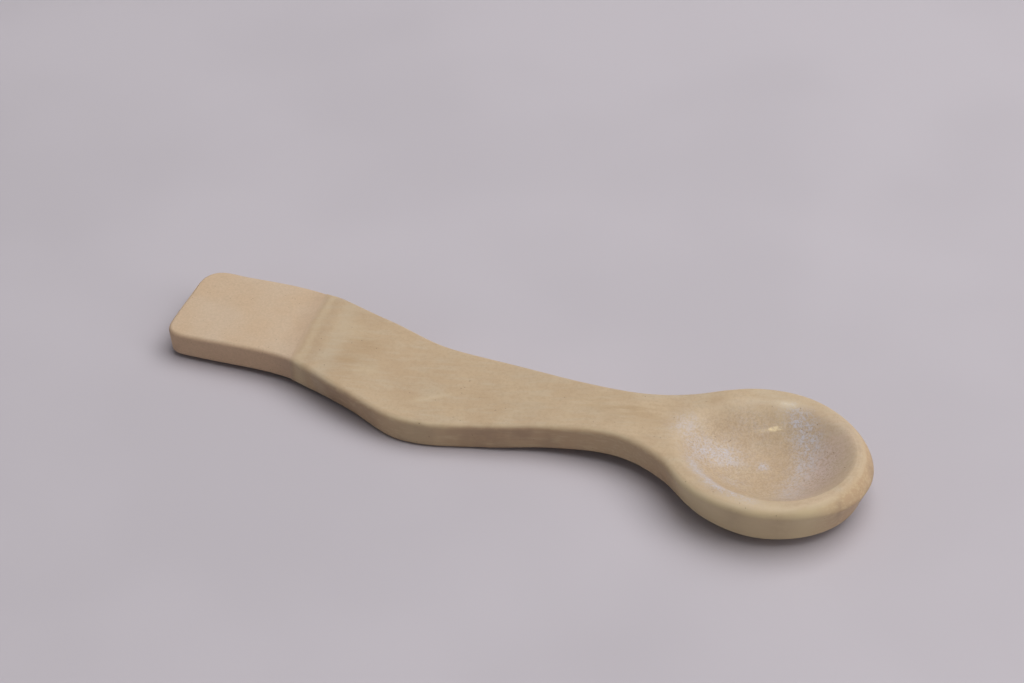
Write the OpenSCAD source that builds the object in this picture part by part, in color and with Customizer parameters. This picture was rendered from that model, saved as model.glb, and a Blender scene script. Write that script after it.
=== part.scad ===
// A hand-made stoneware spoon: one body of fired clay, cut from a slab and pressed into a round
// bowl, under one coat of glaze that stops short of the handle's bare end.
// The spoon lies along X, with its bowl at +X and its handle at -X. The middle of the flat under
// the bowl is the origin, and the table is Z = 0. The left side is +Y and the right side is -Y.
// Sizes are taken over the glaze. The clay lies one glaze thickness inside them.

/* [Bowl] */
// Width of the bowl across the spoon
bowl_w = 30.4; // [26:0.1:38]
// Distance from the middle of the bowl to its tip
tip_reach = 16.9; // [14:0.1:20]
// Height of the rim above the table, at its low side towards the neck
rim_h = 8.6; // [7.4:0.1:12]
// How much higher it stands at its high side, towards the tip and the right
rim_rise = 1; // [0:0.1:2]
// Thickness of the floor at the hollow's lowest point
floor_t = 3.2; // [2.5:0.1:4]
// Width of the rim, from its outside to the edge of the hollow
rim_w = 2.9; // [2.2:0.1:3.8]
// Radius that rounds the rim's outer edge
rim_r = 1.2; // [1:0.1:2.6]
// How much further the hollow runs towards the neck than towards the tip
hollow_runout = 2.3; // [0:0.1:4]
// Diameter of the flat that the bowl rests on
foot_d = 10; // [6:0.5:14]
// Height above the table of the lower edge of the bowl's wall
bowl_lift = 1.6; // [1:0.1:2.8]
// Radius that rounds the lower edge of the bowl's wall
bowl_under_r = 1.6; // [1:0.1:2.4]
// How far the bowl's wall leans in from the rim to the lower edge, at the rim's low side
bowl_lean = 1.6; // [0:0.1:2.2]
// How far it leans in at the rim's high side
high_lean = 1.2; // [0:0.1:1.8]
// How far down the rim slopes at the tip, as a share of the wall's height
tip_slope_share = 0.55; // [0.3:0.05:0.8]
// Slope of the underside where it meets the bowl's wall, in degrees
belly_slope = 20; // [10:1:32]

/* [Neck] */
// Distance from the middle of the bowl to the narrowest place of the neck
neck_reach = 23; // [21:0.5:30]
// Width of the neck
neck_w = 11.7; // [8:0.1:16]
// Sideways place of the neck's middle
neck_shift = 1.4; // [-3:0.1:3]
// Height of the neck's underside above the table
neck_lift = 1.9; // [0.5:0.1:4]

/* [Handle] */
// Thickness of the slab that the handle is cut from
slab_t = 5.5; // [4:0.1:7]
// Radius that rounds the handle's upper edges
edge_r = 1; // [0.8:0.1:1.7]
// Radius that rounds the handle's lower edges
under_r = 1; // [0.8:0.1:1.5]
// How far the handle's side walls lean in from the upper edge to the lower one
wall_lean = 0.3; // [0:0.1:0.8]
// How far the right wall leans in at the bend, where the knife was tilted
bend_lean = 1.1; // [0:0.1:1.6]
// Distance from the middle of the bowl to the knee, where the handle is widest and rests
knee_reach = 59.7; // [50:0.1:70]
// Width of the handle at the knee
knee_w = 20.1; // [15:0.1:25]
// Sideways place of the knee's middle
knee_shift = -1.9; // [-4:0.1:4]

/* [Bare end] */
// Distance from the middle of the bowl to the handle's cut end
end_reach = 104.3; // [96:0.1:125]
// Length of the bare clay, from the cut end to the glaze line
bare_len = 22.5; // [12:0.5:28]
// Width of the handle at its cut end
end_w = 19; // [14:0.1:24]
// Sideways place of the cut end's middle
end_shift = 2.5; // [-4:0.1:6]
// Width of the handle at the glaze line
line_w = 18.7; // [14:0.1:24]
// Sideways place of the glaze line's middle
line_shift = 3.2; // [-4:0.1:6]
// How much further the cut end reaches on the left side than on the right
end_skew = 0.4; // [-3:0.1:3]
// How much further the glaze line reaches on the left side than on the right
line_skew = 1.4; // [-3:0.1:3]
// How far the rounding of the cut end's right corner, seen from above, reaches along each edge
right_corner_r = 3.6; // [2.4:0.1:5]
// How far the rounding of its left corner reaches
left_corner_r = 5; // [2.4:0.1:6]
// Height of the cut end's underside above the table
end_lift = 0.3; // [0:0.1:2]
// Height of the underside above the table at the glaze line
line_lift = 0.7; // [0:0.1:2]

/* [Glaze] */
// Thickness of the glaze coat
glaze_t = 0.3; // [0.2:0.02:0.5]
// Thickness of the glaze at its edge, on the glaze line
glaze_edge_t = 0.12; // [0.08:0.02:0.2]
// Extra thickness of the glaze that has pooled at the bottom of the hollow
pool_t = 0.2; // [0:0.05:0.5]
// Length over which the glaze thickens from its edge
glaze_feather = 3; // [1:0.1:8]

/* [Hidden] */

clay_colour = [0.77, 0.67, 0.57];
glaze_colour = [0.74, 0.67, 0.54];

// Columns run across the spoon, from its right side to its left one, and rows run along it.
COLS = 8;
// Columns on each rounded corner of the cut end
CORNER_COLS = 2;
// Rows on each rounded corner of the cut end
CORNER_ROWS = 2;
// Rows between two knots of a side, from the rounded corner to the bowl
SPAN_ROWS = [5, 4, 4, 4, 4, 3, 4, 4];
// Steps round the part of the bowl's outline that is an arc, and the angle of its ends from the tip
ARC_STEPS = 50;
ARC_ANGLE = 125;
// Angle of the knot past the arc's end, which only steers the outline
GUIDE_ANGLE = 110;
// Steps round the quarter turn of the upper edge and of the lower edge
UPPER_STEPS = 3;
LOWER_STEPS = 2;

// Rings of points in the rim, as shares of the way from the hollow's edge to the rounded edge
RIM_SHARES = [1, 0.62, 0.3];
// Rings of points in the hollow, as shares of its radius, from its edge to its middle
HOLLOW_SHARES = [1, 0.93, 0.84, 0.72, 0.57, 0.4, 0.2, 0];
// Rings of points under the bowl, as shares of the way from the flat's edge to the wall
BELLY_SHARES = [1, 0.8, 0.6, 0.4, 0.2, 0];
// How the hollow falls from its edge: a higher power gives a flatter floor. A higher lip power gives
// a softer edge. It is lowest at the rim's high side and highest opposite, where the hollow runs out.
DISH_POWER = 3;
CRISP_LIP_POWER = 1.2;
SOFT_LIP_POWER = 2.3;
// Direction of the rim's high side, from the tip
HIGH_ANGLE = -35;
// Direction in which the rim slopes most, and the power with which it turns down there. The power 1
// is a round edge, and 2 a flat slope.
SLOPING_ANGLE = 5;
SLOPING_POWER = 1.6;
// How much narrower the hollow is towards the neck and wider towards the tip, as a share
EGG_SHARE = 0.12;
// The most that the rim's rounding takes of the rim's width
RIM_ROUND_SHARE = 0.76;
// The steepest that the underside may meet the wall, as a multiple of its mean rise
STEEPEST = 2.4;

// Where the places between two stations lie, as shares of the way from the first to the second.
// Each share stands for one of a station's values: reach, width, shift, lift and thickness.
BEND_SHARES = [0.53, 0.69, 0.56, 0.1, 1];
MIDDLE_SHARES = [0.41, 0.45, 0.43, 0.09, 1];
WRIST_SHARES = [0.7, 0.9, 0.82, 0.55, 1];
SHOULDER_SHARES = [0.55, 0.42, 0.25, 0.49, 0.4];

function mix(a, b, share) = a * (1 - share) + b * share;

function mix_each(a, b, shares) = [for (i = [0:len(a) - 1]) mix(a[i], b[i], shares[i])];

// Eases from 0 to 1 with no slope at either end.
function ease(share) = let (s = min(1, max(0, share))) s * s * (3 - 2 * s);

function total(list, count) = count == 0 ? 0 : list[count - 1] + total(list, count - 1);

// Stations along the handle: reach, width, shift, lift and thickness.
end_station = [end_reach, end_w, end_shift, end_lift, slab_t];
line_station = [end_reach - bare_len, line_w, line_shift, line_lift, slab_t];
knee_station = [knee_reach, knee_w, knee_shift, 0, slab_t];
neck_station = [neck_reach, neck_w, neck_shift, neck_lift, slab_t];
bowl_station =
    [-tip_reach * cos(ARC_ANGLE), bowl_w * sin(ARC_ANGLE), 0, bowl_lift, rim_h - bowl_lift];
bend_station = mix_each(line_station, knee_station, BEND_SHARES);
middle_station = mix_each(knee_station, neck_station, MIDDLE_SHARES);
wrist_station = mix_each(knee_station, neck_station, WRIST_SHARES);
shoulder_station = mix_each(neck_station, bowl_station, SHOULDER_SHARES);

rim_round = min(rim_r, rim_w * RIM_ROUND_SHARE);
tip_drop = (rim_h - bowl_lift - bowl_under_r) * tip_slope_share;
belly_rise = tan(belly_slope);

// A place on the outline holds x, y and these values, in this order. LIFT is the underside's height,
// TALL the thickness, UPPER how far in the upper edge's rounding reaches, DROP how far down, POWER how
// it turns, UNDER the radius of the lower edge, LEAN how far the wall leans in, SLOPE the underside's
// rise inwards to the wall, and PAST the distance past the glaze line.
LIFT = 2;
TALL = 3;
UPPER = 4;
DROP = 5;
POWER = 6;
UNDER = 7;
LEAN = 8;
SLOPE = 9;
PAST = 10;

// side is -1 on the right and 1 on the left.
function place(station, side, skew = 0, lean = wall_lean) = [
    -station[0] - side * skew / 2, station[2] + side * station[1] / 2,
    station[3], station[4], edge_r, edge_r, 1, under_r, lean, 0
];

// How near two angles are: 1 where they are the same, and 0 where they are opposite
function nearness(angle, other) = (1 + cos(angle - other)) / 2;

function bowl_place(angle) =
    let (tip = nearness(angle, SLOPING_ANGLE) ^ 4, high = nearness(angle, HIGH_ANGLE) ^ 2)
    [
        tip_reach * cos(angle), bowl_w / 2 * sin(angle),
        bowl_lift, rim_h + rim_rise * high - bowl_lift,
        mix(rim_round, rim_w * RIM_ROUND_SHARE, tip), mix(rim_round, tip_drop, tip),
        mix(1, SLOPING_POWER, tip), bowl_under_r, mix(bowl_lean, high_lean, high), belly_rise
    ];

// The shoulder's edges lie between those of the neck and those of the bowl.
function shoulder_place(side) =
    let (p = place(shoulder_station, side), b = bowl_place(ARC_ANGLE))
    [for (i = [0:len(p) - 1]) i < UPPER ? p[i] : mix(p[i], b[i], SHOULDER_SHARES[4])];

// The corners of the cut end as they were cut, and the ends of the glaze line.
function end_corner(side) = place(end_station, side, end_skew);
function line_end(side) = place(line_station, side, line_skew);

function flat(p) = [p[0], p[1]];

// The step of one unit of length in plan from a to b
function way(a, b) = (b - a) / norm(flat(b - a));

// The rounded corner: share 0 is where it leaves the side, and share 1 where it meets the cut end.
function corner_place(side, share) =
    let (
        corner = end_corner(side),
        reach = side < 0 ? right_corner_r : left_corner_r,
        on_side = corner + way(corner, line_end(side)) * reach,
        on_end = corner + way(corner, end_corner(-side)) * reach
    )
    mix(mix(on_side, corner, share), mix(corner, on_end, share), share);

// The smooth curve through b and c, steered by a before them and d after them.
function curve_place(a, b, c, d, share) =
    let (
        ab = norm(flat(b - a)),
        bc = norm(flat(c - b)),
        cd = norm(flat(d - c)),
        leaving = ((b - a) * bc / ab + (c - b) * ab / bc) * bc / (ab + bc),
        arriving = ((c - b) * cd / bc + (d - c) * bc / cd) * bc / (bc + cd),
        rest = 1 - share
    )
    b * (1 + 2 * share) * rest ^ 2 + leaving * share * rest ^ 2
        + c * (3 - 2 * share) * share ^ 2 - arriving * rest * share ^ 2;

// The knots of one side. The first and the last only steer the curve.
function side_knots(side) = [
    end_corner(side), corner_place(side, 0), line_end(side),
    place(bend_station, side, lean = side < 0 ? bend_lean : wall_lean),
    place(knee_station, side), place(middle_station, side), place(wrist_station, side),
    place(neck_station, side), shoulder_place(side),
    bowl_place(side * ARC_ANGLE), bowl_place(side * GUIDE_ANGLE)
];

// The rows of one side, from the middle of the rounded corner up to the arc.
function side_rows(side) = let (knots = side_knots(side)) [
    for (row = [0:CORNER_ROWS - 1]) corner_place(side, (1 - row / CORNER_ROWS) / 2),
    for (span = [0:len(SPAN_ROWS) - 1])
        for (row = [0:SPAN_ROWS[span] - 1])
            curve_place(
                knots[span], knots[span + 1], knots[span + 2], knots[span + 3],
                row / SPAN_ROWS[span]
            )
];

// The cut end, from the middle of its right corner to the middle of its left one.
function end_place(col) =
    let (
        side = col < COLS / 2 ? -1 : 1,
        from_side = side < 0 ? col : COLS - col,
        on_corner = min(1, from_side / CORNER_COLS),
        along = max(0, from_side - CORNER_COLS) / (COLS - 2 * CORNER_COLS)
    )
    mix(corner_place(side, mix(1 / 2, 1, on_corner)), corner_place(-side, 1), along);

// Rows of the glaze line, of the neck and of the arc's ends
LINE_ROW = CORNER_ROWS + SPAN_ROWS[0];
NECK_ROW = CORNER_ROWS + total(SPAN_ROWS, 6);
ARC_ROW = CORNER_ROWS + total(SPAN_ROWS, len(SPAN_ROWS));

// Distance past the glaze line, towards the bowl
line_way = way(line_end(-1), line_end(1));
function past_line(p) =
    let (from = p - line_end(-1)) from[0] * line_way[1] - from[1] * line_way[0];

// The whole outline, anticlockwise from above: the right side, the arc, the left side and the end.
right_rows = side_rows(-1);
left_rows = side_rows(1);
all_places = [
    for (p = right_rows) p,
    for (step = [0:ARC_STEPS]) bowl_place(ARC_ANGLE * (2 * step / ARC_STEPS - 1)),
    for (row = [ARC_ROW - 1:-1:0]) left_rows[row],
    for (col = [COLS - 1:-1:1]) end_place(col)
];
outline = [for (p = all_places) [for (v = p) v, past_line(p)]];
ROUND = len(outline);

// Where a row's left place and a column's end place stand in the outline
LEFT_START = 2 * ARC_ROW + ARC_STEPS;
function left_of(row) = LEFT_START - row;
function end_of(col) = (LEFT_START + COLS - col) % ROUND;

// The direction outwards at each place of the outline
outward = [
    for (i = [0:ROUND - 1])
        let (along = way(outline[(i + ROUND - 1) % ROUND], outline[(i + 1) % ROUND]))
        [along[1], -along[0]]
];

// The place i of the outline, drawn in by a length.
function drawn_in(i, length) =
    let (p = outline[i])
    [p[0] - outward[i][0] * length, p[1] - outward[i][1] * length, for (v = [2:len(p) - 1]) p[v]];

// How far a surface lies inside the glaze's full thickness: the clay all of it, and the glaze's
// own surface only near the glaze line.
function depth(p, glazed) =
    glazed ? (glaze_t - glaze_edge_t) * (1 - ease(p[PAST] / glaze_feather)) : glaze_t;

// Heights of the top and of the underside at a place
function top_z(p, glazed) = p[LIFT] + p[TALL] - depth(p, glazed);
function under_z(p, glazed) = max(0, p[LIFT]) + depth(p, glazed);

// The lower edge turns only as far as the underside's slope asks.
function under_turn(p) = 90 - atan(p[SLOPE]);
function under_in(p, glazed, turn) =
    p[LEAN] + p[UNDER] - (p[UNDER] - depth(p, glazed)) * cos(turn);
function under_up(p, glazed, turn) =
    under_z(p, glazed) + (p[UNDER] - depth(p, glazed)) * (1 - sin(turn));

// One column of the wall, from the top's edge to the underside's edge.
function wall_column(i, glazed) =
    let (p = outline[i], deep = depth(p, glazed))
    [
        for (step = [0:UPPER_STEPS])
            let (turn = 90 * step / UPPER_STEPS)
            let (at = drawn_in(i, p[UPPER] - (p[UPPER] - deep) * sin(turn) ^ p[POWER]))
            [at[0], at[1], top_z(p, glazed) - (p[DROP] - deep) * (1 - cos(turn) ^ p[POWER])],
        for (step = [0:LOWER_STEPS])
            let (turn = under_turn(p) * step / LOWER_STEPS)
            let (at = drawn_in(i, under_in(p, glazed, turn)))
            [at[0], at[1], under_up(p, glazed, turn)]
    ];

// Places on the edge of the top and on the edge of the underside
top_edge = [for (i = [0:ROUND - 1]) drawn_in(i, outline[i][UPPER])];
function under_edge(glazed) =
    [for (i = [0:ROUND - 1]) drawn_in(i, under_in(outline[i], glazed, under_turn(outline[i])))];

// A place between the two edges of a row. The rows turn from the cut end's shape to straight ones.
function row_place(edge, row, col) =
    row == 0 ? edge[end_of(col)] :
    mix(edge[row], edge[left_of(row)], col / COLS)
        + (edge[end_of(col)] - mix(edge[0], edge[left_of(0)], col / COLS))
        * (1 - ease(row / LINE_ROW));

// The loop round the bowl, anticlockwise from the right of the neck, which it crosses at its end.
function bowl_loop(edge) = [
    for (i = [NECK_ROW:left_of(NECK_ROW)]) edge[i],
    for (col = [COLS - 1:-1:0]) row_place(edge, NECK_ROW, col)
];

// The hollow's edge is an egg. Its middle lies towards the neck by half the runout.
hollow_x = -hollow_runout / 2;
hollow_a = tip_reach - rim_w - hollow_x;
hollow_b = bowl_w / 2 - rim_w;
function hollow_angle(p) = atan2(p[1] / hollow_b, (p[0] - hollow_x) / hollow_a);
function hollow_point(p, share) =
    let (angle = hollow_angle(p))
    [
        hollow_x + hollow_a * cos(angle) * share,
        hollow_b * sin(angle) * (1 + EGG_SHARE * cos(angle)) * share
    ];
function lip_power(angle) =
    mix(SOFT_LIP_POWER, CRISP_LIP_POWER, nearness(angle, HIGH_ANGLE));
function hollow_z(p, share) =
    mix(p[LIFT] + p[TALL], floor_t, (1 - share ^ DISH_POWER) ^ lip_power(hollow_angle(p)));
function pool(share, glazed) = glazed ? 0 : pool_t * (1 - share ^ 2) ^ 2;

// One point of the rim's ring: share 1 is the rounded edge, and share 0 the hollow's edge.
function rim_point(p, share, glazed) =
    let (at = mix(hollow_point(p, 1), flat(p), share))
    [at[0], at[1], top_z(p, glazed)];

function dish_point(p, share, glazed) =
    let (at = hollow_point(p, share))
    [at[0], at[1], hollow_z(p, share) - pool(share, glazed) - depth(p, glazed)];

// One point under the bowl: share 1 is the wall's lower edge, and share 0 the flat's edge.
function belly_point(p, share, glazed) =
    let (
        start = flat(p) * foot_d / 2 / norm(flat(p)),
        at = mix(start, flat(p), share),
        low = depth(p, glazed),
        rise = under_up(p, glazed, under_turn(p)) - low,
        climb = min(p[SLOPE] * norm(flat(p) - start), rise * STEEPEST)
    )
    [at[0], at[1], low + rise * share ^ 2 * (3 - 2 * share) - climb * share ^ 2 * (1 - share)];

// The patches of a skin, from a row to the tip. Each is a grid of points. Its second value is
// true where its rows, taken against its columns, turn the other way.
function wall_patch(row, glazed) =
    [[for (i = [row:left_of(row)]) wall_column(i, glazed)], true];
function top_patch(row, glazed) = [
    [for (r = [row:NECK_ROW]) [for (c = [0:COLS]) let (p = row_place(top_edge, r, c))
        [p[0], p[1], top_z(p, glazed)]]],
    false
];
function under_patch(row, glazed) = let (edge = under_edge(glazed)) [
    [for (r = [row:NECK_ROW]) [for (c = [0:COLS]) let (p = row_place(edge, r, c))
        [p[0], p[1], under_up(p, glazed, under_turn(p))]]],
    true
];
function bowl_patch(glazed) = let (loop = bowl_loop(top_edge)) [
    concat(
        [for (share = RIM_SHARES) [for (p = loop) rim_point(p, share, glazed)]],
        [for (share = HOLLOW_SHARES) [for (p = loop) dish_point(p, share, glazed)]]
    ),
    true
];
function belly_patch(glazed) = let (loop = bowl_loop(under_edge(glazed))) [
    concat(
        [for (share = BELLY_SHARES) [for (p = loop) belly_point(p, share, glazed)]],
        [[for (p = loop) [0, 0, glazed ? 0 : glaze_t]]]
    ),
    false
];
function end_patch() = [[for (c = [0:COLS]) wall_column(end_of(c), false)], false];

function skin(row, glazed) = [
    wall_patch(row, glazed), top_patch(row, glazed), under_patch(row, glazed),
    bowl_patch(glazed), belly_patch(glazed)
];

function turned(patches) = [for (p = patches) [p[0], !p[1]]];

// The outline of the section along a row, round the top, the left wall, the underside and the right.
function section(row, glazed) =
    let (
        top = top_patch(row, glazed)[0][0],
        under = under_patch(row, glazed)[0][0],
        left = wall_column(left_of(row), glazed),
        right = wall_column(row, glazed),
        last = len(left) - 1
    )
    concat(
        top, [for (i = [1:last]) left[i]],
        [for (i = [COLS - 1:-1:0]) under[i]], [for (i = [last - 1:-1:0]) right[i]]
    );
function line_patch() = [[section(LINE_ROW, true), section(LINE_ROW, false)], true];

// All triangles of a patch whose first point has the number start. Those with no area are left out.
function patch_faces(patch, start) =
    let (grid = patch[0], wide = len(grid[0]))
    [
        for (r = [0:len(grid) - 2], c = [0:wide - 2])
            let (
                near = [r, c],
                over = patch[1] ? [r + 1, c] : [r, c + 1],
                far = [r + 1, c + 1],
                back = patch[1] ? [r, c + 1] : [r + 1, c]
            )
            for (t = [[near, over, far], [near, far, back]])
                if (distinct([for (at = t) grid[at[0]][at[1]]]))
                    [for (at = t) start + at[0] * wide + at[1]]
    ];

function distinct(t) = t[0] != t[1] && t[1] != t[2] && t[2] != t[0];

// A closed solid from patches that meet along their edges.
module solid(patches) {
    counts = [for (p = patches) len(p[0]) * len(p[0][0])];
    points = [for (p = patches) for (row = p[0]) for (at = row) at];
    faces = [for (i = [0:len(patches) - 1]) for (t = patch_faces(patches[i], total(counts, i))) t];
    polyhedron(points, faces, convexity = 4);
}

module clay_body() {
    color(clay_colour) solid(concat(skin(0, false), [end_patch()]));
}

module glaze_coat() {
    color(glaze_colour)
        solid(concat(skin(LINE_ROW, true), turned(skin(LINE_ROW, false)), [line_patch()]));
}

clay_body();
glaze_coat();
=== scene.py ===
"""A hand-made stoneware spoon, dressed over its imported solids.

Two pieces stand for the two solids: the fired clay body and the glaze coat on it. Both are skins
worked out with numpy from the same few sizes that the solids have, only finer, and both are then
bent by one field of slow waves, so that they look made by hand and still fit face to face.
Lengths are in millimetres up to the moment when a mesh is made, and in metres after it.
"""

import logging
import math
from dataclasses import dataclass, field
from enum import IntEnum, StrEnum

import bpy
import numpy as np
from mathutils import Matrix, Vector
from numpy.typing import NDArray

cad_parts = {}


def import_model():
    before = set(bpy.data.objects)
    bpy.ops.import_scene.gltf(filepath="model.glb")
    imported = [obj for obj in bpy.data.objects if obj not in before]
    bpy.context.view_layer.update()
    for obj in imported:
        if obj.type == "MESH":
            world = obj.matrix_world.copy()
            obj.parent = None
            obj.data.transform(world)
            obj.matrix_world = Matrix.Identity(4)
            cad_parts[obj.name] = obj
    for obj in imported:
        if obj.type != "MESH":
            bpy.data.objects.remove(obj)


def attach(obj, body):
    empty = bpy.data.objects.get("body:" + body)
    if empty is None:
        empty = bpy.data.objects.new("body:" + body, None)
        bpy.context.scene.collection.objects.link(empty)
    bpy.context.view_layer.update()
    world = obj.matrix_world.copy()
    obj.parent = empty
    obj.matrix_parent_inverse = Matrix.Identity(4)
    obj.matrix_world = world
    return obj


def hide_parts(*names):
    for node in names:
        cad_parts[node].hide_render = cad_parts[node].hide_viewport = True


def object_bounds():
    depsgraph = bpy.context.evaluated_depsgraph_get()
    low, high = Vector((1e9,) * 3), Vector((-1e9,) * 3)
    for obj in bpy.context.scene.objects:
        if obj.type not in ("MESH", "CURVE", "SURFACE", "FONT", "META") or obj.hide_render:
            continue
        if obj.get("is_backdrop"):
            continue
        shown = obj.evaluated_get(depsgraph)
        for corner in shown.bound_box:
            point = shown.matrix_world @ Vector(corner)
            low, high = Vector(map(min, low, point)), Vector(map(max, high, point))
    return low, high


LOG = logging.getLogger("spoon")
MILLIMETRE = 0.001
# Between these two values of a noise, few of the dots that it picks show
FEW_DOTS = (0.6, 0.66)
# Where the Mix node keeps its share, its two colours and its result
MIX_SHARE, MIX_UNDER, MIX_OVER, MIX_RESULT = 0, 6, 7, 2

Grid = NDArray[np.float64]
Rows = NDArray[np.int64]
Tone = tuple[float, float, float]
Socket = bpy.types.NodeSocket
Inputs = dict[str | int, Socket | tuple[float, ...] | float]


class Value(IntEnum):
    """What each column of an outline place holds."""

    X = 0
    Y = 1
    LIFT = 2
    TALL = 3
    UPPER = 4
    DROP = 5
    POWER = 6
    UNDER = 7
    LEAN = 8
    SLOPE = 9
    PAST = 10


class Mark(StrEnum):
    """The marks that every point of a skin carries for its material.

    Attributes:
        PAST: millimetres past the glaze line.
        EDGE: nearness to the middle of the rounded upper edge, from 0 to 1.
        DISH: depth in the hollow, from 0 at its edge to 1 at its middle.
        WALL: 1 on the walls and the underside, 0 on the top.
    """

    PAST = "past"
    EDGE = "edge"
    DISH = "dish"
    WALL = "wall"


class Side(IntEnum):
    """The two sides of the spoon."""

    RIGHT = -1
    LEFT = 1


def ease(share: Grid | float) -> Grid:
    """Eases from 0 to 1 with no slope at either end: three shares squared less two cubed."""
    held = np.clip(share, 0.0, 1.0)
    return held * held * (3.0 - 2.0 * held)


def mix(first: Grid | float, second: Grid | float, share: Grid | float) -> Grid:
    """Goes in a straight line from the first value at share 0 to the second at share 1."""
    return np.asarray(first) * (1.0 - share) + np.asarray(second) * share


def nearness(angle: Grid, degrees: float) -> Grid:
    """Half of one plus the cosine of the turn between an angle in radians and one in degrees."""
    return (1.0 + np.cos(angle - math.radians(degrees))) / 2.0


def plan_length(step: Grid) -> Grid:
    """Length of a step seen from above, kept as a last axis of one."""
    return np.linalg.norm(step[..., :2], axis=-1, keepdims=True)


def way(start: Grid, end: Grid) -> Grid:
    """The step of one unit of length in plan from start to end."""
    return (end - start) / plan_length(end - start)


@dataclass(frozen=True)
class SpoonSizes:
    """The spoon's sizes, taken over the glaze, in millimetres and degrees."""

    bowl_w: float = 30.4
    tip_reach: float = 16.9
    rim_h: float = 8.6
    rim_rise: float = 1.0
    floor_t: float = 3.2
    rim_w: float = 2.9
    rim_r: float = 1.2
    hollow_runout: float = 2.3
    foot_d: float = 10.0
    bowl_lift: float = 1.6
    bowl_under_r: float = 1.6
    bowl_lean: float = 1.6
    high_lean: float = 1.2
    tip_slope_share: float = 0.55
    belly_slope: float = 20.0
    neck_reach: float = 23.0
    neck_w: float = 11.7
    neck_shift: float = 1.4
    neck_lift: float = 1.9
    slab_t: float = 5.5
    edge_r: float = 1.0
    under_r: float = 1.0
    wall_lean: float = 0.3
    bend_lean: float = 1.1
    knee_reach: float = 59.7
    knee_w: float = 20.1
    knee_shift: float = -1.9
    end_reach: float = 104.3
    bare_len: float = 22.5
    end_w: float = 19.0
    end_shift: float = 2.5
    line_w: float = 18.7
    line_shift: float = 3.2
    end_skew: float = 0.4
    line_skew: float = 1.4
    right_corner_r: float = 3.6
    left_corner_r: float = 5.0
    end_lift: float = 0.3
    line_lift: float = 0.7
    glaze_t: float = 0.3
    glaze_edge_t: float = 0.12
    pool_t: float = 0.2
    glaze_feather: float = 3.0
    arc_angle: float = 125.0
    guide_angle: float = 110.0
    dish_power: float = 3.0
    crisp_lip_power: float = 1.2
    soft_lip_power: float = 2.3
    high_angle: float = -35.0
    sloping_angle: float = 5.0
    sloping_power: float = 1.6
    egg_share: float = 0.12
    rim_round_share: float = 0.76
    steepest: float = 2.4
    bend_shares: tuple[float, ...] = (0.53, 0.69, 0.56, 0.1, 1.0)
    middle_shares: tuple[float, ...] = (0.41, 0.45, 0.43, 0.09, 1.0)
    wrist_shares: tuple[float, ...] = (0.7, 0.9, 0.82, 0.55, 1.0)
    shoulder_shares: tuple[float, ...] = (0.55, 0.42, 0.25, 0.49, 0.4)


@dataclass(frozen=True)
class Fineness:
    """How many steps each stretch of a skin is cut into.

    Attributes:
        span_rows: rows between two places of a side in a row, from the corner up to the bowl.
        neck_span: how many of those spans lie before the neck.
        foot_shares: where the rings of the flat under the bowl lie on its radius.
    """

    cols: int = 44
    corner_cols: int = 8
    corner_rows: int = 8
    span_rows: tuple[int, ...] = (42, 26, 24, 34, 24, 24, 18, 14)
    neck_span: int = 6
    arc_steps: int = 156
    upper_steps: int = 9
    wall_steps: int = 8
    lower_steps: int = 6
    rim_steps: int = 7
    hollow_steps: int = 30
    belly_steps: int = 18
    foot_shares: tuple[float, ...] = (0.66, 0.33, 0.0)


@dataclass(frozen=True)
class Fading:
    """How the marks pass from the top of the spoon into its walls.

    Attributes:
        edge_share: the edge mark on the flat, right beside the rounded edge.
        edge_reach: over how many millimetres it falls to about a third.
        wall_from: angle of the rounded edge where the wall mark starts, in degrees.
        wall_over: angle over which it grows, in degrees.
        haste: how much sooner both marks pass for each 1 that the edge's power is above 1.
    """

    edge_share: float = 0.6
    edge_reach: float = 1.1
    wall_from: float = 12.0
    wall_over: float = 55.0
    haste: float = 1.5

    def beside(self, distance: Grid) -> Grid:
        """The edge mark on the flat: it falls exponentially with the distance to the edge."""
        return self.edge_share * np.exp(-distance / self.edge_reach)


@dataclass
class Patch:
    """A grid of points with its marks.

    Attributes:
        points: rows by columns by three, in millimetres.
        marks: rows by columns by the number of marks.
        flipped: true where the rows, taken against the columns, turn the other way.
    """

    points: Grid
    marks: Grid
    flipped: bool

    def turned(self) -> "Patch":
        """The same patch seen from its other side."""
        return Patch(self.points, self.marks, not self.flipped)


def patch_of(points: Grid, past: Grid, flipped: bool, edge: Grid | float = 0.0,
             dish: Grid | float = 0.0, wall: Grid | float = 0.0) -> Patch:
    """Makes a patch, with each of its four marks spread over all its points."""
    marks = [np.broadcast_to(mark, points.shape[:2]) for mark in (past, edge, dish, wall)]
    return Patch(points, np.dstack(marks), flipped)


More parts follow.
